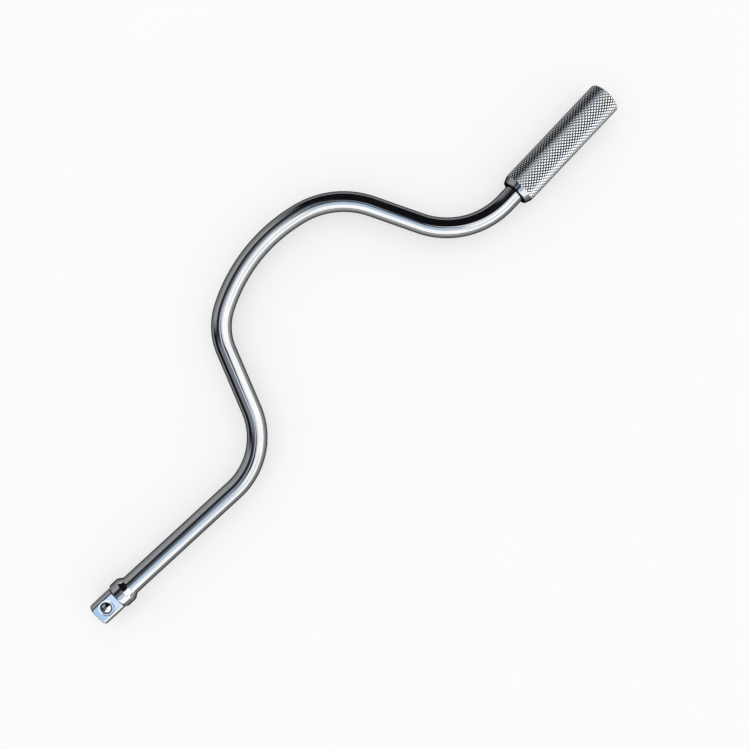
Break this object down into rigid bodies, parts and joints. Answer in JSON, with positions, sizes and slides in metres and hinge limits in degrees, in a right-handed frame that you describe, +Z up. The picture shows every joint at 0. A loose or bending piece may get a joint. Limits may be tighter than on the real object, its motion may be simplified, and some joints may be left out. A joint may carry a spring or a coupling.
{
  "type": "speed brace",
  "caption": "Cranked chrome-plated steel bar with a half-inch drive square and sprung detent ball at one end and a free-turning knurled steel grip at the other.",
  "frame": {"origin": "centre of the drive square's tip face", "axes": "+X along the drive axis from the tip towards the grip, +Y towards the bow, +Z up with the brace lying flat and the detent ball on top"},
  "size_m": [0.385, 0.0996, 0.0184],
  "materials": {
    "chrome_bar": "polished chrome plate with fine rub marks",
    "knurled_chrome": "chrome plate over a diamond knurl",
    "plug_chrome": "satin chrome plate",
    "ball_steel": "bare polished steel",
    "spring_steel": "dark oiled spring steel",
    "washer_steel": "bare turned steel",
    "bush_bronze": "oiled sintered bronze"
  },
  "bodies": {
    "crank": {"crank_rod": "chrome_bar", "detent_spring": "spring_steel", "thrust_washer": "washer_steel", "retaining_washer": "washer_steel", "retaining_ring": "spring_steel"},
    "ball": {"detent_ball": "ball_steel"},
    "grip": {"grip_sleeve": "knurled_chrome", "end_plug": "plug_chrome", "front_bush": "bush_bronze", "rear_bush": "bush_bronze"}
  },
  "joints": [
    {"name": "grip_spin", "type": "hinge", "parent": "crank", "child": "grip", "pos_m": [0.31461, 0.01523, 0], "axis": [0.9976, 0.0698, 0], "continuous": true},
    {"name": "detent_press", "type": "slide", "parent": "crank", "child": "ball", "axis": [0, -0.0872, 0.9962], "range_m": [-0.0014, 0], "stiffness_N_per_m": 5000, "springref_m": 0.002, "deforming": ["detent_spring"]}
  ]
}
